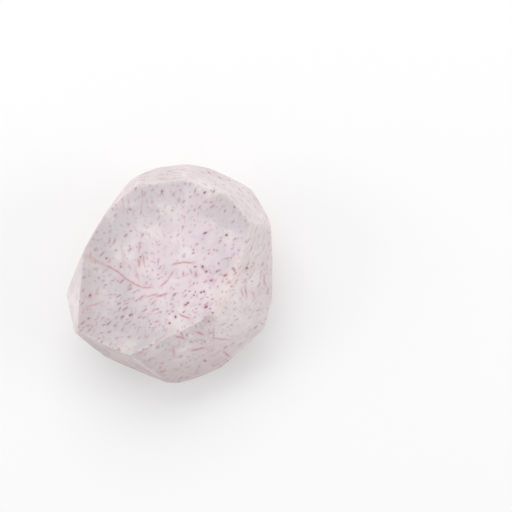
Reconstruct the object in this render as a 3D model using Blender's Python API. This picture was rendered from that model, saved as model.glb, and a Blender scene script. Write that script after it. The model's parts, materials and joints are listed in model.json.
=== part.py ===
"""Peeled taro corm cut in half, lying on its rounded back with the cut face up.

The corm was peeled with a knife, so its outside is a set of flat strokes that
meet in edges. The model is made the same way: a block is cut once for each
stroke. Metres, +Z up, +X to the right and +Y to the top of the cut face. The
origin is on the surface it lies on, under the middle of its outline.
"""
import math

import bmesh
import bpy
from mathutils import Matrix, Vector

HEIGHT = 0.042          # from the resting spot up to the cut face
BLOCK = 0.16            # width of the block that is cut
EDGE = 0.0008           # how far a worn knife edge is softened
MM = 0.001

# Every stroke starts at an edge on a face that was there before it. Seen from
# above, that edge is a straight line: its bearing, in degrees from +X towards
# +Y, and its distance from the axis in millimetres. The last number is a slope.

# Strokes seen from above. They fall away outwards, and the slope is how much
# more steeply they fall than the face they start from.
UPPER_STROKES = {
    "left": ("cut", 175.4, 43.75, 1.19),
    "left_low": ("cut", 246.9, 45.4, 2.6),
    "low": ("cut", 297.6, 28.3, 0.84),
    "right_low": ("cut", 320.2, 29.6, 0.70),
    "right": ("cut", 337.5, 30.43, 0.71),
    "top_right": ("cut", 41, 48.1, 0.84),
    "top": ("cut", 70, 47.4, 1.03),
    "top_left": ("cut", 98, 45.9, 0.90),
    "left_top": ("cut", 131, 44.3, 1.28),
    # narrow strokes that round off the rim of the low one
    "rim_a": ("low", 267, 52.4, 0.9),
    "rim_b": ("low", 284, 52.9, 0.9),
    "rim_c": ("low", 304, 51.6, 0.9),
}

# Strokes round the widest part, under the outline. The slope is how much
# thicker the piece gets for each millimetre inwards from the outline.
SIDE_STROKES = (
    ("left", 155, 44.1, 6.0),
    ("left", 194.4, 53.7, 3.4),
    ("left_low", 226, 54.9, 5.0),
    ("left_low", 246, 52.7, 4.8),
    ("rim_a", 267, 56.1, 3.4),
    ("rim_b", 284, 56.6, 3.4),
    ("rim_c", 304, 55.3, 3.4),
    ("right_low", 320, 54.7, 2.8),
    ("right", 346, 53.6, 2.8),
    ("right", 1, 52.2, 2.8),
    ("top_right", 30, 57.5, 2.7),
    ("top_right", 55, 58.8, 2.6),
    ("top", 78, 56.6, 2.8),
    ("top_left", 98, 54.2, 2.6),
    ("left_top", 125, 50.2, 3.0),
)

# Two rings of strokes over the rounded back, down to the resting spot: how
# many, the bearing of the first, their distance from the axis at the bottom,
# and their slope.
BACK_RINGS = (
    (9, 8, 35.0, 0.95),
    (5, 45, 14.0, 0.42),
)
BACK_TURN = 5.0         # how far a back stroke's bearing strays, in degrees
BACK_SWING = 0.8        # how far its distance strays, in millimetres


def outward(bearing):
    """Unit vector in plan that points along a bearing."""
    turn = math.radians(bearing)
    return math.cos(turn), math.sin(turn)


def tilted(face, bearing, distance, slope):
    """Face (x slope, y slope, height at the axis) tilted about an edge."""
    east, north = outward(bearing)
    return (face[0] + slope * east, face[1] + slope * north,
            face[2] - slope * distance * MM)


def knife_faces():
    """All faces to cut to, each with +1 to keep what is under it, or -1."""
    found = {"cut": (0.0, 0.0, HEIGHT)}
    faces = []
    for name, (start, bearing, distance, slope) in UPPER_STROKES.items():
        found[name] = tilted(found[start], bearing, distance, -slope)
        faces.append((found[name], 1))
    for start, bearing, distance, slope in SIDE_STROKES:
        faces.append((tilted(found[start], bearing, distance, slope), -1))
    for ring, (count, first, mean, slope) in enumerate(BACK_RINGS):
        for number in range(count):
            bearing = first + 360 * number / count + BACK_TURN * math.sin(2.3 * number)
            distance = mean + BACK_SWING * math.sin(1.9 * number + ring)
            faces.append((tilted((0, 0, 0), bearing, distance, slope), -1))
    return faces


def slice_block(bm, face, keep):
    """Cut the solid along one face and close it again."""
    normal = Vector((-face[0], -face[1], 1.0)).normalized() * keep
    everything = bm.verts[:] + bm.edges[:] + bm.faces[:]
    cut = bmesh.ops.bisect_plane(
        bm, geom=everything, dist=1e-7, plane_co=(0, 0, face[2]),
        plane_no=normal, clear_outer=True)
    rim = [item for item in cut["geom_cut"] if isinstance(item, bmesh.types.BMEdge)]
    if rim:
        bmesh.ops.contextual_create(bm, geom=rim)


def centre_outline(bm):
    """Bring the middle of the outline over the origin."""
    xs = [vert.co.x for vert in bm.verts]
    ys = [vert.co.y for vert in bm.verts]
    middle = Vector((min(xs) + max(xs), min(ys) + max(ys), 0)) / 2
    bmesh.ops.translate(bm, verts=bm.verts, vec=-middle)


def taro_material():
    """Raw taro flesh: pale lilac grey, damp but not shiny."""
    material = bpy.data.materials.new("taro_flesh")
    material.use_nodes = True
    shader = material.node_tree.nodes["Principled BSDF"]
    shader.inputs["Base Color"].default_value = (0.69, 0.60, 0.63, 1.0)
    shader.inputs["Roughness"].default_value = 0.5
    shader.inputs["Metallic"].default_value = 0.0
    return material


def taro_half():
    """The half corm, one solid."""
    bm = bmesh.new()
    bmesh.ops.create_cube(bm, size=1.0)
    size = Matrix.Diagonal((BLOCK, BLOCK, HEIGHT, 1))
    lift = Matrix.Translation((0, 0, HEIGHT / 2))
    bmesh.ops.transform(bm, verts=bm.verts, matrix=lift @ size)
    for face, keep in knife_faces():
        slice_block(bm, face, keep)
    bmesh.ops.remove_doubles(bm, verts=bm.verts, dist=0.0001)
    bmesh.ops.bevel(bm, geom=bm.edges[:], offset=EDGE, segments=2, profile=0.5,
                    affect="EDGES", clamp_overlap=True)
    bmesh.ops.dissolve_degenerate(bm, edges=bm.edges, dist=0.00001)
    bmesh.ops.recalc_face_normals(bm, faces=bm.faces)
    centre_outline(bm)
    mesh = bpy.data.meshes.new("taro_half")
    bm.to_mesh(mesh)
    bm.free()
    mesh.shade_smooth()
    mesh.set_sharp_from_angle(angle=math.radians(35))
    mesh.materials.append(taro_material())
    piece = bpy.data.objects.new("taro_half", mesh)
    bpy.context.scene.collection.objects.link(piece)
    return piece


def main():
    for item in list(bpy.data.objects):
        bpy.data.objects.remove(item, do_unlink=True)
    taro_half()


main()
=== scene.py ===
import json
import math
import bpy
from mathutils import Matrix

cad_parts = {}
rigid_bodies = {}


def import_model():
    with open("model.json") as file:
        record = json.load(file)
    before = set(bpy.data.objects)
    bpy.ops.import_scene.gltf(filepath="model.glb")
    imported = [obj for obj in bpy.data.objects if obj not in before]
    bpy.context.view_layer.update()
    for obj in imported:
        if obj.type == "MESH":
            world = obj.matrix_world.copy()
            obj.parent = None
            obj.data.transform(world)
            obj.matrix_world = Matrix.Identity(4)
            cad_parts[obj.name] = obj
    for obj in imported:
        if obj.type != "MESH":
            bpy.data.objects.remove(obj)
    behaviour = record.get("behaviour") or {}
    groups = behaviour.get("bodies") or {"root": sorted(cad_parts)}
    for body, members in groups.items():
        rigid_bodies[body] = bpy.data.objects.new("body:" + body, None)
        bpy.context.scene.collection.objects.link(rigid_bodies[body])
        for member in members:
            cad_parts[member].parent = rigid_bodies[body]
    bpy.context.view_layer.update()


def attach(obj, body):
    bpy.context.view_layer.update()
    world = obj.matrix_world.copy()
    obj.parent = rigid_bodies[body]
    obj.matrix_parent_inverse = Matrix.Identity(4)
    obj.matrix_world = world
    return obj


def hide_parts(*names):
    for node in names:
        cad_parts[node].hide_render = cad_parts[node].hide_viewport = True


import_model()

from types import SimpleNamespace

import bpy
import numpy as np

# The peeled half of taro. Lengths are in metres, turns in degrees.
taroShape = {
    "node": "taro_half",
    "columns": 540,                   # points round the piece
    "firstColumn": 97.0,              # from +X towards +Y, where the two ends of the map meet
    # Rows in each stretch, then how wide its first and last steps are beside even
    # ones: over the cut face, down to the widest line, down to the edge of the
    # resting spot, and over that spot.
    "stretches": ((30, 1.4, 0.35), (66, 0.6, 0.7), (70, 0.7, 0.6), (12, 0.5, 1.4)),
    "middleHeight": 0.0215,           # the rays start here, inside the piece
    "widestSlopes": (-50, 40, 181),   # rays between these slopes, so many, find the widest line
    "widestEvened": 6,                # how often that line is evened out
    "edgePower": 420.0,               # higher is a crisper knife edge
    "edgeHighlightWidth": 0.0005,              # of the painted highlight along an edge
    "softenRuns": 1,
    "strokeRadius": 0.50,             # a knife stroke is part of a ball this big
    "strokeWaves": 0.00016,           # how far it strays from its ball
    "levelRise": 0.9999,              # a stroke is level where its normal rises more than this
    "levelRadius": 400.0,             # and is as good as flat
    "levelWaves": 0.00003,
    "waveLength": 0.68,               # as a part of the distance to the surface
    "waveSizes": (1.0, 0.6, 0.45),
    "lowBack": 0.010,                 # under this height the flecks lie as seen from below
    "mapHeight": 0.200,               # length down the surface that the map calls 1
    # what counts as one flat face of the solid: least area of a triangle and of a
    # face, least cosine between normals, and most difference in distance
    "sameFace": (1e-9, 0.00003, 0.99995, 0.00004),
}


def readStrokes(shape):
    # The knife strokes: normals and middles of the flat faces of the solid. A
    # triangle's normal is the cross product of two sides over its length, and its
    # distance is the dot product of that normal and its middle. Triangles that
    # share both are pooled, and a pool's middle is the mean by area.
    leastTriangle, leastFace, leastCosine, mostApart = shape["sameFace"]
    mesh = bpy.data.objects[shape["node"]].data
    mesh.calc_loop_triangles()
    points = np.empty(len(mesh.vertices) * 3)
    mesh.vertices.foreach_get("co", points)
    corners = np.empty(len(mesh.loop_triangles) * 3, dtype=np.int64)
    mesh.loop_triangles.foreach_get("vertices", corners)
    a, b, c = points.reshape(-1, 3)[corners.reshape(-1, 3)].transpose(1, 0, 2)
    cross = np.cross(b - a, c - a)
    area = np.linalg.norm(cross, axis=1) / 2
    normal = cross / np.maximum(2 * area, 1e-12)[:, None]
    middle = (a + b + c) / 3
    distance = np.einsum("ij,ij->i", normal, middle)
    normals, middles = [], []
    free = area > leastTriangle
    for first in np.argsort(-area):
        if not free[first]:
            continue
        sameNormal = normal @ normal[first] > leastCosine
        same = free & sameNormal & (np.abs(distance - distance[first]) < mostApart)
        free &= ~same
        if area[same].sum() > leastFace:
            normals.append(normal[first])
            middles.append(np.average(middle[same], axis=0, weights=area[same]))
    print("knife strokes read:", len(normals))
    return np.array(normals), np.array(middles)


def slowWaves(rays, count, shape):
    # A smooth uneven value from -1 to 1 for each ray and stroke: three sine waves,
    # each shorter and lower than the last, over the sum of their sizes. The seed
    # only gives each stroke directions of its own.
    seed = np.arange(count) * 1.37 + 0.4
    total = 0
    for step, size in enumerate(shape["waveSizes"]):
        turn = seed * (7.1 + 3.7 * step)
        across = np.stack([np.sin(turn), np.cos(1.7 * turn), np.sin(2.3 * turn + 1)], axis=-1)
        often = 2 * math.pi / (shape["waveLength"] * size)
        total = total + np.sin(rays @ across.T * often + turn * 5) * size
    return total / sum(shape["waveSizes"])


def rayLengths(rays, strokes, start, shape):
    # Distance from the start to the surface along each ray. A ray leaves the ball
    # of a stroke at c + root(c^2 - d^2 + r^2), where c is its way to the point
    # nearest to the ball's centre, d that centre's distance and r the radius; slow
    # waves are added. The power mean of these distances, with a high negative
    # power, is the nearest one with its edges rounded a little. The second result
    # falls from 1 on an edge to 0, as e^(-gap / width) of the nearest two.
    normals, middles = strokes
    level = np.abs(normals[:, 2]) > shape["levelRise"]
    radius = np.where(level, shape["levelRadius"], shape["strokeRadius"])
    waves = np.where(level, shape["levelWaves"], shape["strokeWaves"])
    centre = middles - start - normals * radius[:, None]
    along = rays @ centre.T
    reach = along + np.sqrt(np.maximum(along ** 2 - (centre ** 2).sum(axis=1) + radius ** 2, 0))
    reach = reach + slowWaves(rays, len(normals), shape) * waves
    nearest = reach.min(axis=1, keepdims=True)
    power = shape["edgePower"]
    joined = nearest[:, 0] * ((nearest / reach) ** power).sum(axis=1) ** (-1 / power)
    ordered = np.partition(reach, 1, axis=1)
    edge = np.exp(-(ordered[:, 1] - ordered[:, 0]) / shape["edgeHighlightWidth"])
    return joined, edge


def ringAt(height, turns, strokes, leastLean=1e-3):
    # Radius of the piece at a height, in each direction round the axis: for each
    # stroke that leans outwards, its distance less its normal's rise times the
    # height, over how far it leans; then the least of these.
    normals, middles = strokes
    lean = np.cos(turns)[:, None] * normals[:, 0] + np.sin(turns)[:, None] * normals[:, 1]
    room = (normals * middles).sum(axis=1) - normals[:, 2] * height
    return np.where(lean > leastLean, room / np.maximum(lean, leastLean), 1.0).min(axis=1)


def closerAtEnds(count, first, last):
    # Values from 0 to 1 on a cubic curve with a slope of first at the start and
    # last at the end, so that the rows stand closer together where an edge is:
    # (t^3 - 2t^2 + t) first + (3t^2 - 2t^3) + (t^3 - t^2) last.
    t = np.linspace(0, 1, count + 1)
    return (t ** 3 - 2 * t ** 2 + t) * first + (3 * t ** 2 - 2 * t ** 3) + (t ** 3 - t ** 2) * last


def widestLine(turns, strokes, start, shape):
    # Radius and height of the widest point in each direction: a fan of rays, and
    # the one whose length times the cosine of its slope is the greatest. Each
    # height is then evened out as a quarter of both neighbours and half of itself.
    low, high, count = shape["widestSlopes"]
    rise = np.radians(np.linspace(low, high, count))[:, None]
    level = np.cos(rise)
    fan = np.stack(np.broadcast_arrays(np.cos(turns) * level, np.sin(turns) * level, np.sin(rise)), axis=-1)
    far = rayLengths(fan.reshape(-1, 3), strokes, start, shape)[0].reshape(fan.shape[:2])
    flat = far * level
    widest = flat.argmax(axis=0)[None]
    height = start[2] + np.take_along_axis(far * np.sin(rise), widest, axis=0)[0]
    for run in range(shape["widestEvened"]):
        height = (np.roll(height, 1) + 2 * height + np.roll(height, -1)) / 4
    return flat.max(axis=0), height


def taroSurface(shape, strokes):
    # Start + ray(round, down) x length(ray). Round the piece the rays are even in
    # angle; downwards they follow straight lines from the middle of the cut face
    # to its rim, the widest point, the edge of the resting spot and its middle.
    top = strokes[1][:, 2].max()
    start = np.array([0.0, 0.0, shape["middleHeight"]])
    columns = shape["columns"]
    turns = np.linspace(0, 2 * math.pi, columns, endpoint=False) + math.radians(shape["firstColumn"])
    wideRadius, wideHeight = widestLine(turns, strokes, start, shape)
    rimRadius = ringAt(top, turns, strokes)
    spotRadius = ringAt(0.0, turns, strokes)
    zero, full = np.zeros(columns), np.full(columns, top)
    stopRadius = np.stack([zero, rimRadius, wideRadius, spotRadius, zero])
    stopHeight = np.stack([full, full, wideHeight, zero, zero])

    # the two poles are points of their own, so the first and last rows are left out
    steps = [closerAtEnds(*stretch)[1:] + number for number, stretch in enumerate(shape["stretches"])]
    steps = np.concatenate(steps)[:-1]
    section = np.minimum(np.ceil(steps).astype(int) - 1, len(shape["stretches"]) - 1)
    share = (steps - section)[:, None]
    radius = stopRadius[section] + (stopRadius[section + 1] - stopRadius[section]) * share
    height = stopHeight[section] + (stopHeight[section + 1] - stopHeight[section]) * share
    rays = np.stack([radius * np.cos(turns), radius * np.sin(turns), height - start[2]], axis=-1)
    rays /= np.linalg.norm(rays, axis=-1, keepdims=True)
    reach, edge = rayLengths(rays.reshape(-1, 3), strokes, start, shape)
    grid = start + rays * reach.reshape(radius.shape)[..., None]
    for run in range(shape["softenRuns"]):
        grid = (np.roll(grid, 1, axis=1) + 2 * grid + np.roll(grid, -1, axis=1)) / 4
        grid[1:-1] = (grid[:-2] + 2 * grid[1:-1] + grid[2:]) / 4
    grid[..., 2] = np.clip(grid[..., 2], 0, None)
    return grid, edge.reshape(radius.shape), section, top


def closedMesh(name, grid, poles, mapHeight):
    # Point (row, column) is number row x columns + column. Rows are joined by
    # four-sided faces round the piece, and a fan of triangles closes each pole.
    # The map is the part of a turn, and the mean length down the surface over the
    # height of the map.
    rows, columns, _ = grid.shape
    points = np.concatenate([grid.reshape(-1, 3), poles])
    here = np.arange(columns)
    after = (here + 1) % columns
    first = (np.arange(rows - 1) * columns)[:, None]
    quads = [first + here, first + columns + here, first + columns + after, first + after]
    quads = np.stack(quads, axis=-1)
    last = (rows - 1) * columns
    topFan = np.stack([np.full(columns, rows * columns), here, after], axis=-1)
    bottomFan = np.stack([np.full(columns, rows * columns + 1), last + after, last + here], axis=-1)
    corners = np.concatenate([quads.ravel(), topFan.ravel(), bottomFan.ravel()])
    sizes = np.concatenate([np.full((rows - 1) * columns, 4), np.full(2 * columns, 3)])

    quadTurn = np.broadcast_to(np.stack([here, here, here + 1, here + 1], axis=-1), quads.shape)
    topTurn = np.stack([here + 0.5, here, here + 1], axis=-1)
    bottomTurn = np.stack([here + 0.5, here + 1, here], axis=-1)
    turn = np.concatenate([quadTurn.ravel(), topTurn.ravel(), bottomTurn.ravel()]) / columns
    down = np.cumsum(np.linalg.norm(np.diff(grid, axis=0), axis=2).mean(axis=1))
    down = np.append(np.repeat(np.append(0, down), columns), [0, down[-1]])[corners] / mapHeight

    mesh = bpy.data.meshes.new(name)
    mesh.vertices.add(len(points))
    mesh.vertices.foreach_set("co", points.ravel())
    mesh.loops.add(len(corners))
    mesh.loops.foreach_set("vertex_index", corners.astype(np.int32))
    mesh.polygons.add(len(sizes))
    mesh.polygons.foreach_set("loop_start", (np.cumsum(sizes) - sizes).astype(np.int32))
    mesh.polygons.foreach_set("loop_total", sizes.astype(np.int32))
    mesh.update(calc_edges=True)
    layer = mesh.uv_layers.new(name="skin")
    layer.data.foreach_set("uv", np.stack([turn, down], axis=1).astype(np.float32).ravel())
    mesh.validate()
    mesh.shade_smooth()
    return mesh


def keepValue(mesh, name, values, poleValues):
    # One value for each point: the grid's row by row, then the two poles'.
    layer = mesh.attributes.new(name, "FLOAT", "POINT")
    layer.data.foreach_set("value", np.append(values.ravel(), poleValues).astype(np.float32))


def taroHalf(shape):
    # The surface as one closed piece, with two values at each point. Its part is
    # 0 on the cut face, 1 on the sides down to the widest line, 2 under that line
    # and 3 on the low back. Its edge is 1 on a knife edge.
    grid, edge, section, top = taroSurface(shape, readStrokes(shape))
    mesh = closedMesh("taroHalf", grid, [(0, 0, top), (0, 0, 0)], shape["mapHeight"])
    isLowBack = (grid[..., 2] < shape["lowBack"]) & (section[:, None] > 1)
    keepValue(mesh, "part", np.where(isLowBack, 3, section[:, None]), [0, 3])
    keepValue(mesh, "edge", edge, [0, 0])
    piece = bpy.data.objects.new("taroHalf", mesh)
    bpy.context.scene.collection.objects.link(piece)
    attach(piece, "root")
    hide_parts(shape["node"])
    print("taro half:", len(mesh.polygons), "faces")
    return piece


class Wire:
    # A socket that can stand in an expression. Two numbers meet in a Math node,
    # a vector in Vector Math and a colour in Mix.
    tree = None

    def __init__(self, socket):
        self.socket = socket

    def meet(self, other, operation, swap=False):
        # This wire and the other value, or the other first, through one node.
        pair = (other, self) if swap else (self, other)
        kinds = [part.socket.type for part in pair if isinstance(part, Wire)]
        if "RGBA" in kinds:
            return node("ShaderNodeMix", {"data_type": "RGBA", "blend_type": operation},
                        {"Factor": 1.0, "A": pair[0], "B": pair[1]})[0]
        isVector = "VECTOR" in kinds or isinstance(other, tuple)
        kind = "ShaderNodeVectorMath" if isVector else "ShaderNodeMath"
        return node(kind, {"operation": operation}, {0: pair[0], 1: pair[1]})[0]

    def __add__(self, other):
        return self.meet(other, "ADD")

    def __radd__(self, other):
        return self.meet(other, "ADD", swap=True)

    def __sub__(self, other):
        return self.meet(other, "SUBTRACT")

    def __rsub__(self, other):
        return self.meet(other, "SUBTRACT", swap=True)

    def __mul__(self, other):
        return self.meet(other, "MULTIPLY")

    def __rmul__(self, other):
        return self.meet(other, "MULTIPLY", swap=True)

    def __truediv__(self, other):
        return self.meet(other, "DIVIDE")

    def __rtruediv__(self, other):
        return self.meet(other, "DIVIDE", swap=True)

    def __pow__(self, other):
        return self.meet(other, "POWER")

    def __rpow__(self, other):
        return self.meet(other, "POWER", swap=True)


def node(kind, settings=None, sockets=None):
    # Adds one node: its settings first, a ramp's stops among them, then the value
    # or the link of each socket, by name or number. Gives its outputs in order.
    made = Wire.tree.nodes.new(kind)
    for name, value in (settings or {}).items():
        if name == "stops":
            for spot, shade in value[len(made.color_ramp.elements):]:
                made.color_ramp.elements.new(spot)
            for stop, (spot, shade) in zip(made.color_ramp.elements, value):
                stop.position, stop.color = spot, shade
        else:
            setattr(made, name, value)
    usable = [socket for socket in made.inputs if socket.enabled]
    byName = {socket.name: socket for socket in usable}
    for name, value in (sockets or {}).items():
        socket = usable[name] if isinstance(name, int) else byName[name]
        if isinstance(value, Wire):
            Wire.tree.links.new(value.socket, socket)
        elif socket.type in ("VECTOR", "RGBA") and not isinstance(value, tuple):
            socket.default_value = (value,) * len(socket.default_value)
        else:
            socket.default_value = value
    return [Wire(socket) for socket in made.outputs if socket.enabled]


def maths(operation, *given):
    # One Math node on the numbers given.
    return node("ShaderNodeMath", {"operation": operation}, dict(enumerate(given)))[0]


def vectorMaths(operation, *given):
    # One Vector Math node on the vectors given, or on a vector and a scale.
    return node("ShaderNodeVectorMath", {"operation": operation}, dict(enumerate(given)))[0]


def vector(x, y, z=0.0):
    # Three numbers as one vector.
    return node("ShaderNodeCombineXYZ", {}, {0: x, 1: y, 2: z})[0]


def parts(wire):
    # One vector as three numbers.
    return node("ShaderNodeSeparateXYZ", {}, {0: wire})


def channels(wire):
    # One colour as three numbers.
    return node("ShaderNodeSeparateColor", {}, {0: wire})


def attribute(name):
    # A number kept at each point of the mesh.
    return node("ShaderNodeAttribute", {"attribute_name": name})[2]


def ramped(value, name):
    # Smooth step: start where the value is under low, end where it is over high,
    # and start + (end - start)(3t^2 - 2t^3) where it is t of the way.
    low, high, start, end = ramps[name]
    return node("ShaderNodeMapRange", {"interpolation_type": "SMOOTHSTEP"},
                {"Value": value, "From Min": low, "From Max": high, "To Min": start, "To Max": end})[0]


def mixed(first, second, share, kind="RGBA"):
    # First x (1 - share) + second x share.
    return node("ShaderNodeMix", {"data_type": kind}, {"Factor": share, "A": first, "B": second})[0]


def laidOver(base, layers):
    # Each colour is mixed over all that came before it, by its share.
    for shade, share in layers:
        base = mixed(base, shade, share)
    return base


def noise(place, size, detail=2.0, rough=0.5):
    # Uneven clouds from 0 to 1, as wide as the size.
    return node("ShaderNodeTexNoise", {},
                {"Vector": place, "Scale": 1.0 / size, "Detail": detail, "Roughness": rough})[0]


def drift(place, size):
    # A level push of up to half a unit that turns slowly from place to place: the
    # red and green of coloured clouds, less one half.
    clouds = node("ShaderNodeTexNoise", {}, {"Vector": place, "Scale": 1.0 / size, "Detail": 1.0})[1]
    red, green, _ = channels(clouds)
    return vector(red - 0.5, green - 0.5)


def colour(red, green, blue):
    # A colour as seen on screen, 0 to 255, made linear: ((c + 0.055) / 1.055)^2.4.
    return tuple(((part / 255 + 0.055) / 1.055) ** 2.4 for part in (red, green, blue)) + (1.0,)


# Raw taro flesh. Lengths are in mm. Places are seen from above, from a point near
# the middle of the cut face, with y towards the top.
flesh = {
    "shift": (0.313, 0.355),          # from the middle of the outline to that point
    "girth": 330.0,                   # once round the piece
    "core": (-7.0, 16.0),             # the upper flecks point away from here
    "grainDirection": (0.87, 0.46),   # the lower flecks lie along this
    "steep": (-14.0, 9.0),            # and those near here stand steeply
    "steepDirection": (-0.25, 0.95),
    "pinkest": (8.0, 4.0),
    "paintedShadeSide": (-0.39, -0.92),       # the rim on this side has painted shade
    # the flesh's cool grey, set darker so that it is partly painted shade on the lower left of the cut face
    "grey": colour(207, 199, 202),
    "pink": colour(230, 216, 221),
    "cream": colour(240, 233, 232),
    "lilac": colour(213, 202, 215),
    "side": colour(228, 217, 217),
    "thread": colour(197, 119, 133),
    "rose": colour(190, 122, 139),
    "mauve": colour(172, 120, 142),
    "wine": colour(168, 118, 132),
    "purple": colour(150, 50, 102),
    # painted shade for the low rim of the sides and the left rim of the cut face
    "paintedShade": colour(186, 168, 166),
    "peach": colour(243, 225, 217),
    "tan": colour(203, 176, 168),
    "brown": colour(140, 76, 70),
    # Flecks: the space for each, its length and width, the share of spaces that
    # have one, depth of colour, how much greater the share is on the sides, how
    # far they stray from their heading on the sides and on the cut face, and where
    # in the pattern they are taken.
    "faint": {"spacing": 3.1, "length": 1.15, "width": 0.42, "share": 0.68, "depth": 0.38,
              "sideMore": 0.25, "sideWander": 0.5, "faceWander": 2.1, "offset": (40.0, 11.0, 0.0)},
    "clear": {"spacing": 3.4, "length": 1.25, "width": 0.44, "share": 0.72, "depth": 0.60,
              "sideMore": 0.10, "sideWander": 0.5, "faceWander": 2.4, "offset": (0.0, 0.0, 0.0)},
    "dark": {"spacing": 5.2, "length": 0.75, "width": 0.50, "share": 0.34, "depth": 0.80,
             "sideMore": 0.0, "sideWander": 1.8, "faceWander": 1.8, "offset": (9.0, 77.0, 0.0)},
    "fibre": {"spacing": 8.5, "length": 4.6, "width": 0.34, "share": 0.42, "depth": 0.36,
              "sideMore": 0.0, "sideWander": 1.6, "faceWander": 1.6, "offset": (15.0, 33.0, 0.0)},
    # a fleck's own length, width and depth: the least part of the values above,
    # and how much is added for the greatest
    "lengthSpread": (0.35, 1.7),
    "widthSpread": (0.6, 0.8),
    "depthSpread": (0.3, 0.7),
    "sideThinner": 0.4,               # how much thinner the flecks are on the sides
    "sideLonger": 0.5,
    "sideFading": 0.28,
    # clouds: size, detail, roughness, and where in the pattern they are taken
    "patches": (19.0, 3.0, 0.55, (0.0, 0.0, 0.0)),
    "crowds": (13.0, 2.0, 0.50, (17.0, 5.0, 40.0)),
    "veins": (11.0, 3.0, 0.50, (31.0, 7.0, 0.0)),
    "lilacs": (8.0, 2.0, 0.50, (5.0, 50.0, 3.0)),
    "mottle": (3.2, 3.0, 0.60, (3.0, 71.0, 9.0)),
    "breaks": (2.4, 2.0, 0.50, (0.0, 0.0, 0.0)),
    "grain": (0.55, 2.0, 0.60, (0.0, 0.0, 0.0)),
    # pushes: the length over which they turn, then how far they push
    "swirlSize": 16.0,
    "swirlOnSide": 0.7,               # turns the flecks, whose own heading is 1 long
    "swirlOnFace": 1.3,
    "swirlOnBack": 6.0,
    "wobbleSize": 1.2,
    "fleckWobble": 0.7,
    "markWobble": 0.35,
    "bendSize": 5.0,
    "markBend": 1.4,
    # the lines that the knife leaves: their width, detail and roughness, how drawn
    # out they are on the sides, and the two directions in which they are read on
    # the cut face
    "dragClouds": (1.3, 2.0, 0.6),
    "dragLevel": (0.08, 0.08, 1.0),
    "dragAlong": (0.05, 0.02),
    "dragAcross": (-0.38, 0.92),
    # the cut face and the back are moved this far from the unrolled sides, so that
    # they have flecks of their own
    "faceMoved": (0.0, 500.0, 0.0),
    "backMoved": (0.0, 900.0, 0.0),
    "roseSqueeze": 0.5,               # a rose stroke's width over its length
    # the share of a mark that clouds break up, and the share that they leave
    "brokenLine": (0.6, 0.4),
    "brokenPale": (0.6, 0.4),
    "brokenPeach": (0.5, 0.4),
    "brokenTan": (0.5, 0.5),
    "outOfReach": 30.0,               # a gap at which no placed mark shows
    # how deeply the colours that have no ramp are laid on
    "sideDepth": 0.75,
    # a painted highlight: a pale cream line along the knife edges
    "edgeHighlightDepth": 0.22,
    "faceEdgeHighlightDepth": 0.30,            # more on the edges of the cut face
    # painted light: the thin left side lighter, as if lit from the left and glowing through
    "leftSideLight": 0.12,
    "leftSideClean": (0.7, 0.6),      # how much of its drag lines and flecks are missing
    "hazeDepth": 0.16,
    "wineDepth": 0.85,
    # heights of the surface's own roughness, and how it shines
    "grainHeight": 0.045,
    "dragHeight": 0.075,
    "mottleHeight": 0.08,
    "roughness": 0.46,
    "mottleRoughness": 0.14,
    "grainRoughness": 0.10,
    "fleckShine": 0.05,
    "specular": 0.45,
    "scatter": 0.30,                  # share of the light that goes into the flesh
    "scatterReach": (1.0, 0.7, 0.78),  # how far each of its colours goes, times the next
    "scatterScale": 0.0015,           # in metres
}

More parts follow.
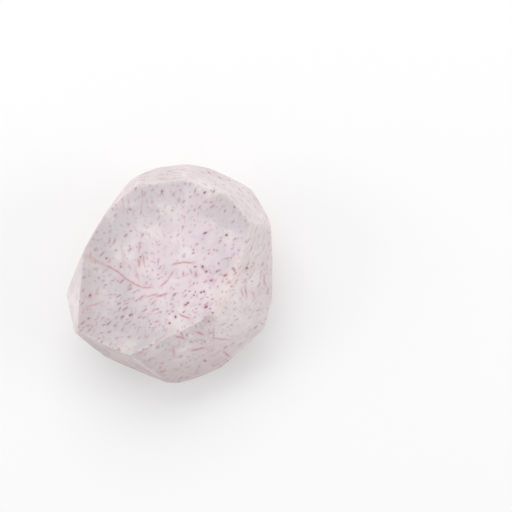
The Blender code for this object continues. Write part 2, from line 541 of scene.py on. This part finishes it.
# Ramps, each a smooth step from one value to another: where it starts, where it
# ends, the value before it and the value after it.
ramps = {
    # the part of the piece, by its number, and the left side, in mm
    "onFace": (0.45, 0.55, 1.0, 0.0),
    "upper": (1.45, 1.55, 1.0, 0.0),
    "onBack": (2.45, 2.55, 0.0, 1.0),
    "leftSide": (-47.0, -42.0, 1.0, 0.0),
    # how the flecks lie, by the distance from the core, from the steep ones and
    # from the middle upwards
    "fromCore": (4.0, 22.0, 0.15, 1.0),
    "nearSteep": (7.0, 15.0, 1.0, 0.0),
    "highUp": (10.0, 22.0, 0.0, 1.0),
    # how many there are and how short, by clouds and places
    "crowd": (0.35, 0.62, 1.15, 0.75),
    "crowdFromPink": (8.0, 30.0, 0.82, 1.15),
    "crowdUpwards": (4.0, 26.0, 1.0, 0.8),
    "darkToRight": (-14.0, 10.0, 0.35, 0.85),
    "shortToRight": (-16.0, 12.0, 1.08, 1.5),
    "thereByChance": (-0.04, 0.04, 1.0, 0.0),
    "nearMapEnd": (-2.4, -2.2, 0.0, 1.0),
    # a fleck and its haze, by the distance in its own lengths and widths
    "fleck": (0.40, 1.25, 1.0, 0.0),
    "fleckHaze": (0.8, 3.4, 1.0, 0.0),
    # the plain flesh, by the height of its clouds and by places in mm
    "warmth": (6.0, 48.0, 0.55, 0.0),
    "greyToPink": (0.42, 0.98, 0.0, 1.0),
    "lilac": (0.52, 0.66, 0.0, 1.0),
    "lilacFromPink": (10.0, 36.0, 0.42, 0.15),
    "paleVein": (0.48, 0.74, 0.0, 0.60),
    "greyVein": (0.28, 0.47, 0.45, 0.0),
    # painted shade: darker towards the low rim of the sides and the left rim of the cut face
    "lowRimShade": (38.0, 52.5, 0.0, 0.47),
    "leftRimShade": (-46.0, -27.0, 0.34, 0.0),
    "dragLine": (0.44, 0.64, 0.0, 0.09),
    # placed marks, by the gap that their function gives
    "paleBand": (0.0, 4.0, 0.45, 0.0),
    "peachBand": (0.0, 4.5, 0.55, 0.0),
    "tanBand": (0.0, 5.0, 0.55, 0.0),
    "palePatch": (0.2, 1.2, 0.40, 0.0),
    "blush": (0.2, 1.2, 0.12, 0.0),
    "mauveBlotch": (0.2, 1.5, 0.30, 0.0),
    "brownSpot": (0.3, 1.3, 0.70, 0.0),
    "line": (0.1, 2.2, 0.66, 0.0),
    "lineHaze": (0.5, 12.0, 0.16, 0.0),
    "roseStroke": (0.45, 1.3, 0.68, 0.0),
    "spot": (0.40, 1.25, 0.88, 0.0),
    "spotHaze": (0.6, 3.0, 0.25, 0.0),
    # how marks are broken, and how the scattered flecks give way and change colour
    "broken": (0.36, 0.60, 0.25, 1.0),
    "fleckFromLine": (3.0, 22.0, 0.15, 1.0),
    "mauveVein": (0.45, 0.70, 0.0, 1.0),
    "wineToLeft": (-22.0, 2.0, 1.0, 0.0),
    "threadNearPeach": (6.0, 40.0, 0.7, 0.0),
}

# Marks at known places. Lines and bands: width, depth of colour, points. Strokes
# and spots: radius, depth of colour, x, y. Patches: radius, x, y.
marks = {
    "pinkLines": [
        (0.30, 0.45, (-34.6, 5.9), (-31.6, 4.3)),
        (0.36, 0.85, (-31.4, 4.1), (-28.2, 2.4), (-24.6, 0.0), (-20.6, -2.6), (-16.6, -5.4),
         (-12.8, -6.7), (-9.0, -6.8)),
        (0.34, 0.7, (-4.2, -6.0), (-0.6, -2.9), (2.3, 1.3)),
        (0.42, 1.0, (2.2, 4.7), (6.6, 5.9), (12.3, 5.7)),
        (0.36, 0.8, (-10.5, -11.2), (-6.0, -10.3)),
        (0.36, 1.0, (-5.9, -11.3), (-1.4, -9.8)),
        (0.36, 1.0, (5.4, -20.0), (9.9, -22.3)),
        (0.42, 1.0, (-15.6, 6.8), (-14.9, 4.2)),
        (0.34, 0.7, (-13.2, 9.2), (-12.1, 5.2)),
        (0.45, 0.9, (7.2, 0.8), (7.3, -0.6)),
        (0.42, 0.7, (11.0, 1.9), (11.4, 0.3)),
        (0.45, 0.9, (13.6, 0.7), (13.7, -0.8)),
        (0.26, 0.6, (-40.1, -16.4), (-34.2, -14.0)),
        (0.32, 0.45, (-16.7, 2.2), (-14.8, -3.6)),
        (0.30, 0.25, (-23.3, 10.6), (-22.2, 3.2)),
    ],
    "sideLines": [
        (0.36, 1.0, (11.4, -38.8), (16.6, -37.7)),
        (0.28, 0.7, (22.2, -27.4), (21.8, -32.8)),
        (0.28, 0.7, (21.8, -32.7), (29.9, -33.3)),
        (0.38, 0.9, (3.4, -31.3), (6.9, -32.3)),
        (0.38, 1.0, (6.9, -32.4), (5.9, -28.7)),
        (0.50, 0.8, (13.6, -29.2), (17.0, -30.4)),
        (0.45, 0.6, (1.8, -37.4), (2.4, -41.1)),
        (0.36, 0.8, (27.0, -39.9), (29.5, -42.4)),
        (0.40, 1.0, (-4.7, -49.8), (-2.8, -49.2)),
        (0.34, 0.9, (38.2, -6.9), (38.6, -11.8)),
        (0.32, 0.7, (36.0, -8.4), (36.9, -10.8)),
        (0.32, 0.7, (41.9, -9.6), (42.7, -12.0)),
        (0.32, 0.8, (47.4, -0.6), (48.2, -5.4)),
    ],
    "purpleSpots": [
        (0.7, 1.0, 9.2, -14.6), (0.6, 1.0, 8.3, -15.4), (0.6, 1.0, 16.8, 3.7), (0.75, 0.9, 18.7, 1.1),
        (1.3, 0.5, 20.9, -3.2), (0.6, 1.0, 16.2, -9.2), (0.6, 1.0, 17.6, -8.8), (0.5, 0.8, 12.6, -10.5),
        (0.65, 1.0, 3.2, -21.5), (0.65, 0.9, 0.4, -24.6), (0.5, 0.9, -31.3, 7.6), (0.5, 0.8, 24.0, 1.5),
        (0.55, 0.9, 38.8, 2.9), (0.45, 0.8, 18.8, -16.4), (0.4, 0.7, 18.2, -21.6), (0.4, 0.7, 19.9, -23.8),
        (0.45, 0.6, 24.3, -6.3), (0.45, 0.7, 24.9, 5.3), (0.55, 0.7, 31.8, 3.1),
    ],
    "roseStrokes": [
        (0.5, 1.0, 12.0, 10.4), (0.45, 0.9, 19.9, 10.3), (0.45, 0.9, 8.4, -8.3), (0.45, 0.9, 10.5, -8.7),
        (0.45, 0.8, 13.9, -4.2), (0.45, 0.8, 0.2, -19.9), (0.55, 0.7, -21.3, -14.9), (0.5, 0.9, -11.6, -18.0),
        (0.6, 0.8, -5.7, -17.2), (0.5, 0.9, -6.3, -23.8), (0.5, 0.8, -9.3, -25.3), (0.45, 0.9, -31.8, -5.4),
        (0.45, 0.8, -35.3, -1.9), (0.45, 0.8, -5.8, -0.3), (0.4, 0.8, -3.6, -1.4), (0.45, 0.8, -31.0, -24.9),
        (0.4, 0.9, -17.7, -25.3), (0.45, 0.8, 31.1, -6.3), (0.45, 0.7, 41.1, -3.6), (0.4, 0.7, 21.3, -10.3),
        (0.45, 0.7, 27.0, -0.6), (0.45, 0.7, 27.0, -3.8), (0.4, 0.7, 29.2, -2.8), (0.45, 0.9, 21.8, -12.5),
        (0.45, 0.8, 19.3, -11.9), (0.5, 0.8, 18.0, -15.5), (0.45, 0.9, 20.6, -17.6), (0.5, 0.9, 7.4, -18.8),
        (0.45, 0.8, 13.7, -17.5), (0.4, 0.8, 11.9, -18.2), (0.4, 0.7, 10.2, -20.3), (0.5, 0.8, 1.0, -15.3),
        (0.4, 0.8, 33.5, 0.6), (0.4, 0.8, 31.2, 7.8),
    ],
    # the flesh's own peach with a painted highlight along the rim of the cut face
    "peachBands": [
        (1.7, 0.85, (23.5, -17.5), (28.0, -11.8)),
        (2.2, 1.0, (29.6, -7.6), (32.2, 1.0)),
        (1.5, 0.7, (34.5, 5.5), (36.5, 9.5)),
    ],
    "tanBands": [
        (1.0, 0.9, (-41.6, 9.0), (-38.6, 7.2)),
        (0.9, 1.0, (-38.6, 7.2), (-36.0, 6.4)),
    ],
    # a painted highlight along the edge between two low knife faces
    "paleBands": [(0.5, 1.0, (-17.6, -42.4), (-6.6, -51.6))],
    # paler flesh with painted glare on the lower right side
    "palePatch": (12.0, 29.0, -27.0),
    "blush": (10.0, 25.0, -42.0),
    # a soft darker mauve patch where the rim of the cut face meets two knife faces
    "mauveBlotch": (3.4, 19.6, -22.6),
    "brownSpot": (0.6, 21.7, -19.4),
}


def nearLines(place, lines, fainter=2.0):
    # Each straight stretch is a long oval from one point to the next: the fourth
    # power of the distance along it, in half lengths, and the square of the
    # distance across it, in widths. The place holds x, y and 1, so that one dot
    # product gives each distance. Gives the least sum, 1 on an outline, and more
    # for a line that is less deep in colour.
    nearest = None
    for width, depth, *points in lines:
        for (x0, y0), (x1, y1) in zip(points, points[1:]):
            stretch = math.hypot(x1 - x0, y1 - y0)
            half = stretch / 2 + width
            east, north = (x1 - x0) / stretch, (y1 - y0) / stretch
            x, y = (x0 + x1) / 2, (y0 + y1) / 2
            alongPart = (east / half, north / half, -(east * x + north * y) / half)
            acrossPart = (-north / width, east / width, (north * x - east * y) / width)
            along = vectorMaths("DOT_PRODUCT", place, alongPart)
            across = vectorMaths("DOT_PRODUCT", place, acrossPart)
            gap = across * across + along ** 4.0
            if depth < 1:
                gap = gap + (1 - depth) * fainter
            nearest = gap if nearest is None else maths("MINIMUM", nearest, gap)
    return nearest


def farFrom(place, radius, x, y):
    # Distance to one spot, in its radius.
    return vectorMaths("DISTANCE", place, (x, y, 1.0)) / radius


def nearSpots(place, spots, fainter=0.9):
    # Distance to the nearest spot, in its radius, and more for a weaker spot.
    nearest = None
    for radius, depth, x, y in spots:
        gap = farFrom(place, radius, x, y)
        if depth < 1:
            gap = gap + (1 - depth) * fainter
        nearest = gap if nearest is None else maths("MINIMUM", nearest, gap)
    return nearest


def cloud(at, name):
    # Clouds of the size, detail and roughness that the flesh gives.
    size, detail, rough, moved = flesh[name]
    return noise(at.solid + moved, size, detail, rough)


def dashes(at, name, density, shorter):
    # Short strokes, one in each cell of a Voronoi pattern. A stroke is an oval
    # round the middle of its cell: the root of the squares of the distance along
    # it, in lengths, and across it, in widths. It is turned to the heading and a
    # little off it, with a length, width and depth of its own, and some cells have
    # none. Gives the stroke and a wide haze round it.
    kind = flesh[name]
    spacing, offset = kind["spacing"], kind["offset"]
    moved = vectorMaths("SCALE", at.fleckPlane + offset, 1 / spacing)
    _, random, centre = node("ShaderNodeTexVoronoi", {"voronoi_dimensions": "2D"},
                             {"Vector": moved, "Scale": 1.0, "Randomness": 1.0})
    chance, size, lean = channels(random)
    away = vectorMaths("SCALE", moved - centre, spacing)
    wander = kind["sideWander"] + at.onFace * (kind["faceWander"] - kind["sideWander"])
    strayed = vectorMaths("SCALE", vector(lean - 0.5, size - 0.5), wander)
    course = vectorMaths("NORMALIZE", at.heading + strayed)
    along = vectorMaths("DOT_PRODUCT", away, course)
    across = vectorMaths("LENGTH", away - vectorMaths("SCALE", course, along))
    least, more = flesh["lengthSpread"]
    lengths = along * shorter / (kind["length"] * (least + size * size * more))
    least, more = flesh["widthSpread"]
    widths = across * (1.0 + at.onSide * flesh["sideThinner"]) / (kind["width"] * (least + lean * more))
    gap = vectorMaths("LENGTH", vector(lengths, widths))
    # on the sides none is cut off where the two ends of the map meet
    halfRound = flesh["girth"] / 2
    fromMiddle = maths("ABSOLUTE", parts(centre)[0] * spacing - (offset[0] + halfRound))
    density = density + at.onSide * kind["sideMore"]
    there = ramped(chance - density * kind["share"], "thereByChance")
    there = there * (1.0 - at.onSide * ramped(fromMiddle - halfRound, "nearMapEnd"))
    least, more = flesh["depthSpread"]
    strength = there * (least + lean * more) * kind["depth"]
    return ramped(gap, "fleck") * strength, ramped(gap, "fleckHaze") * strength


def fleckHeading(at):
    # The way the flecks lie: with the grain low on the cut face, steeply near one
    # place and away from the core high up, level round the sides, and any way on
    # the back. A slow swirl turns them all a little.
    swirl = drift(at.solid, flesh["swirlSize"])
    fromCore = at.plan - (*flesh["core"], 0.0)
    fromSteep = vectorMaths("LENGTH", at.plan - (*flesh["steep"], 0.0))
    coreStrength = ramped(vectorMaths("LENGTH", fromCore), "fromCore")
    outwards = vectorMaths("SCALE", vectorMaths("NORMALIZE", fromCore), coreStrength)
    lying = mixed((*flesh["grainDirection"], 0.0), (*flesh["steepDirection"], 0.0),
                  ramped(fromSteep, "nearSteep"), "VECTOR")
    lying = mixed(lying, outwards, ramped(at.y, "highUp"), "VECTOR")
    heading = mixed((1.0, 0.0, 0.0), lying, at.onFace, "VECTOR")
    heading = mixed(heading, vectorMaths("SCALE", swirl, flesh["swirlOnBack"]), at.onBack, "VECTOR")
    turned = flesh["swirlOnSide"] + at.onFace * (flesh["swirlOnFace"] - flesh["swirlOnSide"])
    return heading + vectorMaths("SCALE", swirl, turned)


def readPlaces(mapHeight):
    # Where a point of the flesh lies, in mm, and on which part of the piece: each
    # part is 1 on itself and 0 elsewhere.
    at = SimpleNamespace()
    at.solid = vectorMaths("SCALE", node("ShaderNodeTexCoord")[3], 1000.0)
    at.x, at.y, _ = parts(at.solid)
    at.plan = vector(at.x - flesh["shift"][0], at.y - flesh["shift"][1])
    at.edge = attribute("edge")
    part = attribute("part")
    at.onFace = ramped(part, "onFace")
    at.onBack = ramped(part, "onBack")
    at.onSide = 1.0 - at.onFace - at.onBack
    at.upper = ramped(part, "upper")
    at.leftSide = ramped(at.x, "leftSide") * at.onSide
    at.fromPink = vectorMaths("LENGTH", at.plan - (*flesh["pinkest"], 0.0))

    # the flecks' own plane: the sides unrolled, and the cut face and the back as
    # seen from above
    wobble = drift(at.solid, flesh["wobbleSize"])
    u, v, _ = parts(node("ShaderNodeUVMap", {"uv_map": "skin"})[0])
    flat = vector(u * flesh["girth"], v * mapHeight)
    flat = mixed(flat, at.plan + flesh["faceMoved"], at.onFace, "VECTOR")
    flat = mixed(flat, at.plan + flesh["backMoved"], at.onBack, "VECTOR")
    at.fleckPlane = flat + vectorMaths("SCALE", wobble, flesh["fleckWobble"])
    at.heading = fleckHeading(at)

    # the plan with a 1 as its height, pushed about a little so that no placed
    # mark is quite straight or round
    bend = vectorMaths("SCALE", drift(at.solid, flesh["bendSize"]), flesh["markBend"])
    at.placed = at.plan + vectorMaths("SCALE", wobble, flesh["markWobble"]) + bend + (0.0, 0.0, 1.0)
    return at


def knifeDrag(at):
    # The knife's own lines: clouds drawn out across the cut face one way, and
    # level on the sides.
    alongX, alongY = flesh["dragAlong"]
    acrossX, acrossY = flesh["dragAcross"]
    onFace = vector(at.x * alongX + at.y * alongY, at.y * acrossY + at.x * acrossX)
    place = mixed(at.solid * flesh["dragLevel"], onFace, at.onFace, "VECTOR")
    return noise(place, *flesh["dragClouds"])


def plainFlesh(at, veins, drag):
    # The flesh without flecks or placed marks: grey to pink by the patches and the
    # distance from the pinkest place, then paler and darker veins, a painted highlight
    # along the knife edges, painted light on the left side, painted shade on the low
    # rim and the left of the cut face, and the knife's drag lines laid over it.
    pinkness = ramped(cloud(at, "patches") + ramped(at.fromPink, "warmth"), "greyToPink")
    toShadedSide = vectorMaths("DOT_PRODUCT", at.plan, (*flesh["paintedShadeSide"], 0.0))
    lowRimShade = ramped(maths("MAXIMUM", toShadedSide, 0.0 - at.y), "lowRimShade")
    clean = 1.0 - at.leftSide * flesh["leftSideClean"][0]
    return laidOver(mixed(flesh["grey"], flesh["pink"], pinkness), [
        (flesh["side"], (at.onSide + at.onBack) * flesh["sideDepth"]),
        (flesh["lilac"], ramped(cloud(at, "lilacs"), "lilac") * ramped(at.fromPink, "lilacFromPink")),
        (flesh["cream"], ramped(veins, "paleVein")),
        (flesh["grey"], ramped(veins, "greyVein")),
        # painted highlight along the knife edges
        (flesh["cream"], at.edge * (flesh["edgeHighlightDepth"] + at.onFace * flesh["faceEdgeHighlightDepth"])),
        # painted light on the thin left side
        (flesh["cream"], at.leftSide * flesh["leftSideLight"]),
        # painted shade on the low rim facing away from the key light, and on the left of the cut face
        (flesh["paintedShade"], lowRimShade * at.onSide + ramped(at.x, "leftRimShade") * at.onFace),
        (flesh["mauve"], ramped(drag, "dragLine") * at.onSide * clean),
    ])


def worn(broken, name):
    # How much of a mark is left: clouds x the share that they break up, and the
    # share that they leave.
    loose, firm = flesh[name]
    return broken * loose + firm


def softMarks(at, base, peachGap, broken):
    # The wide soft marks: bands along knife edges, broken up by clouds, and round
    # patches that fade outwards. The pale band is a painted highlight, the peach bands
    # are the flesh's own peach with a painted highlight, and the pale patch is paler
    # flesh with painted glare.
    paleBand = ramped(nearLines(at.placed, marks["paleBands"]), "paleBand")
    tanBand = ramped(nearLines(at.placed, marks["tanBands"]), "tanBand")
    patchNames = ("palePatch", "blush", "mauveBlotch")
    patch = {name: ramped(farFrom(at.placed, *marks[name]), name) for name in patchNames}
    return laidOver(base, [
        # painted highlight along a low knife edge
        (flesh["cream"], paleBand * worn(broken, "brokenPale") * at.onSide * at.upper),
        # paler flesh with painted glare
        (flesh["cream"], patch["palePatch"] * at.onSide),
        (flesh["rose"], patch["blush"] * at.onSide),
        # peach flesh and painted highlight along the rim of the cut face
        (flesh["peach"], ramped(peachGap, "peachBand") * worn(broken, "brokenPeach") * at.upper),
        (flesh["tan"], tanBand * worn(broken, "brokenTan") * at.upper),
        # darker mauve patch at the meeting of the rim and two knife faces
        (flesh["mauve"], patch["mauveBlotch"] * at.upper),
    ])


def scatteredFlecks(at):
    # Four kinds of strokes with their hazes. They crowd together in clouds and
    # away from the pinkest place, and the dark ones keep to the right.
    crowd = ramped(cloud(at, "crowds"), "crowd")
    crowd = crowd * ramped(at.fromPink, "crowdFromPink") * ramped(at.y, "crowdUpwards")
    shorter = ramped(at.x, "shortToRight") - at.onSide * flesh["sideLonger"]
    faint = dashes(at, "faint", crowd, shorter)
    clear = dashes(at, "clear", crowd, shorter)
    dark = dashes(at, "dark", ramped(at.x, "darkToRight"), 1.0)
    fibre = dashes(at, "fibre", 1.0, 1.0)
    return faint, clear, dark, fibre


def roseGap(at):
    # Distance to the nearest rose stroke. In a plane squeezed along the grain, a
    # round spot is a stroke that lies with it.
    east, north = flesh["grainDirection"]
    squeeze = flesh["roseSqueeze"]
    along = vectorMaths("DOT_PRODUCT", at.placed, (east * squeeze, north * squeeze, 0.0))
    across = vectorMaths("DOT_PRODUCT", at.placed, (-north, east, 0.0))
    squeezed = [(radius, depth, (east * x + north * y) * squeeze, east * y - north * x)
                for radius, depth, x, y in marks["roseStrokes"]]
    return nearSpots(vector(along, across, 1.0), squeezed)


def fleshColour(at, flecks, veins, drag):
    # The plain flesh, the soft marks, the scattered flecks and the placed marks,
    # each laid over what came before it. Flecks fade near a placed line, on the
    # sides and on the back; placed marks are only above the widest line.
    (faint, faintHaze), (clear, clearHaze), (dark, darkHaze), (fibre, _) = flecks
    broken = ramped(cloud(at, "breaks"), "broken")
    outOfReach = (1.0 - at.upper) * flesh["outOfReach"]
    sideGap = nearLines(at.placed, marks["sideLines"])
    faceGap = nearLines(at.placed, marks["pinkLines"])
    lineGap = mixed(sideGap, faceGap, at.onFace, "FLOAT") + outOfReach
    spotGap = nearSpots(at.placed, marks["purpleSpots"]) + outOfReach
    strokeGap = roseGap(at) + outOfReach
    peachGap = nearLines(at.placed, marks["peachBands"])

    fading = 1.0 - (at.onSide + at.onBack) * flesh["sideFading"]
    fading = fading * (1.0 - at.leftSide * flesh["leftSideClean"][1])
    strength = fading * ramped(lineGap, "fleckFromLine")
    wineShare = maths("MAXIMUM", at.onSide, ramped(at.x, "wineToLeft")) * flesh["wineDepth"]
    fleck = mixed(flesh["rose"], flesh["mauve"], ramped(veins, "mauveVein"))
    fleck = mixed(fleck, flesh["wine"], wineShare)
    fleck = mixed(fleck, flesh["thread"], ramped(peachGap, "threadNearPeach") * at.upper)
    thread = mixed(flesh["rose"], flesh["thread"], at.onFace)

    base = softMarks(at, plainFlesh(at, veins, drag), peachGap, broken)
    return laidOver(base, [
        (flesh["mauve"], (faintHaze + clearHaze + darkHaze) * flesh["hazeDepth"] * fading),
        (flesh["rose"], fibre * strength * broken),
        (flesh["mauve"], faint * strength),
        (fleck, clear * strength),
        (flesh["purple"], dark * strength),
        (thread, ramped(lineGap, "line") * worn(broken, "brokenLine")),
        (flesh["thread"], ramped(lineGap, "lineHaze")),
        (fleck, ramped(strokeGap, "roseStroke")),
        (flesh["mauve"], ramped(spotGap, "spotHaze")),
        (flesh["purple"], ramped(spotGap, "spot")),
        (flesh["brown"], ramped(farFrom(at.placed, *marks["brownSpot"]), "brownSpot") * at.upper),
    ])


def fleshMaterial(piece, mapHeight):
    # Damp raw flesh: light goes a little way into it, it shines less where the
    # clouds are high, and its height is grain, drag lines and mottle added up.
    material = bpy.data.materials.new("rawTaroFlesh")
    material.use_nodes = True
    tree = Wire.tree = material.node_tree
    tree.nodes.clear()
    at = readPlaces(mapHeight)
    flecks = scatteredFlecks(at)
    drag = knifeDrag(at)
    base = fleshColour(at, flecks, cloud(at, "veins"), drag)

    mottle, grain, clear = cloud(at, "mottle"), cloud(at, "grain"), flecks[1][0]
    height = grain * flesh["grainHeight"] + drag * flesh["dragHeight"] + mottle * flesh["mottleHeight"]
    normal = node("ShaderNodeBump", {}, {"Strength": 1.0, "Distance": 0.001, "Height": height})[0]
    rough = flesh["roughness"] + mottle * flesh["mottleRoughness"] + grain * flesh["grainRoughness"]
    shader = node("ShaderNodeBsdfPrincipled", {}, {
        "Base Color": base,
        "Roughness": rough - clear * flesh["fleckShine"],
        "Normal": normal,
        "Subsurface Weight": flesh["scatter"],
        "Subsurface Radius": flesh["scatterReach"],
        "Subsurface Scale": flesh["scatterScale"],
        "Specular IOR Level": flesh["specular"],
    })[0]
    node("ShaderNodeOutputMaterial", {}, {"Surface": shader})
    piece.data.materials.append(material)
    print("flesh material:", len(tree.nodes), "nodes")


# The studio. Lights: place, where it points, width, height, power in watts.
studio = {
    "dome": 0.69,
    "floorHalf": 3.0,
    "floorColour": colour(252, 252, 252),
    "floorRoughness": 0.8,
    "floorSpecular": 0.1,
    "lights": {
        "key": ((-0.27, 1.53, 1.56), (0.0, 0.0, 0.03), 2.0, 1.5, 16.8),
        "left": ((-1.63, 0.1, 0.78), (0.0, 0.0, 0.03), 1.0, 0.7, 4.3),
        "right": ((1.63, 0.0, 0.78), (0.0, 0.0, 0.03), 1.0, 0.7, 4.6),
    },
}

view = {
    "lens": 120.0,                    # in mm, on a sensor of the next width
    "sensor": 36.0,
    "middle": (0.0438, 0.00935),      # what the middle of the picture looks at
    "across": 0.256,                  # width of the picture at the cut face
    "height": 0.042,                  # of the cut face
}


def softLight(name, place, aim, width, height, power):
    # A soft square light turned to its aim: it leans by the arc cosine of its
    # height over its distance, and turns by the arc tangent of its y over its x,
    # and a quarter turn more.
    lamp = bpy.data.lights.new(name, "AREA")
    lamp.shape = "RECTANGLE"
    lamp.size, lamp.size_y, lamp.energy = width, height, power
    light = bpy.data.objects.new(name, lamp)
    light.location = place
    away = np.array(place) - np.array(aim)
    lean = math.acos(away[2] / np.linalg.norm(away))
    light.rotation_euler = (lean, 0, math.atan2(away[1], away[0]) + math.pi / 2)
    bpy.context.scene.collection.objects.link(light)


def paleFloor(studio):
    # A plain square of twice the half width, at height 0.
    half = studio["floorHalf"]
    mesh = bpy.data.meshes.new("floor")
    corners = [(-half, -half, 0), (half, -half, 0), (half, half, 0), (-half, half, 0)]
    mesh.from_pydata(corners, [], [(0, 1, 2, 3)])
    material = bpy.data.materials.new("paleFloor")
    material.use_nodes = True
    sockets = material.node_tree.nodes["Principled BSDF"].inputs
    sockets["Base Color"].default_value = studio["floorColour"]
    sockets["Roughness"].default_value = studio["floorRoughness"]
    sockets["Specular IOR Level"].default_value = studio["floorSpecular"]
    mesh.materials.append(material)
    floor = bpy.data.objects.new("floor", mesh)
    bpy.context.scene.collection.objects.link(floor)


def studioSet(studio):
    # A plain pale floor, an even white dome and the soft lights.
    paleFloor(studio)
    world = bpy.data.worlds.new("studio")
    world.use_nodes = True
    sockets = world.node_tree.nodes["Background"].inputs
    sockets["Color"].default_value = (1, 1, 1, 1)
    sockets["Strength"].default_value = studio["dome"]
    scene = bpy.context.scene
    scene.world = world
    scene.view_settings.view_transform = "Standard"
    for name, values in studio["lights"].items():
        softLight(name, *values)
    print("studio: floor, dome and", len(studio["lights"]), "lights")


def lookDown(view):
    # Straight down from above, as the photograph was taken. The camera stands
    # above the cut face by the picture's width x lens / sensor.
    camera = bpy.data.objects.new("camera", bpy.data.cameras.new("camera"))
    camera.data.lens = view["lens"]
    camera.data.sensor_width = view["sensor"]
    distance = view["across"] * view["lens"] / view["sensor"]
    camera.location = (*view["middle"], view["height"] + distance)
    bpy.context.scene.collection.objects.link(camera)
    bpy.context.scene.camera = camera
    print("camera:", round(distance, 3), "m above the cut face")


piece = taroHalf(taroShape)
fleshMaterial(piece, taroShape["mapHeight"] * 1000)
studioSet(studio)
lookDown(view)
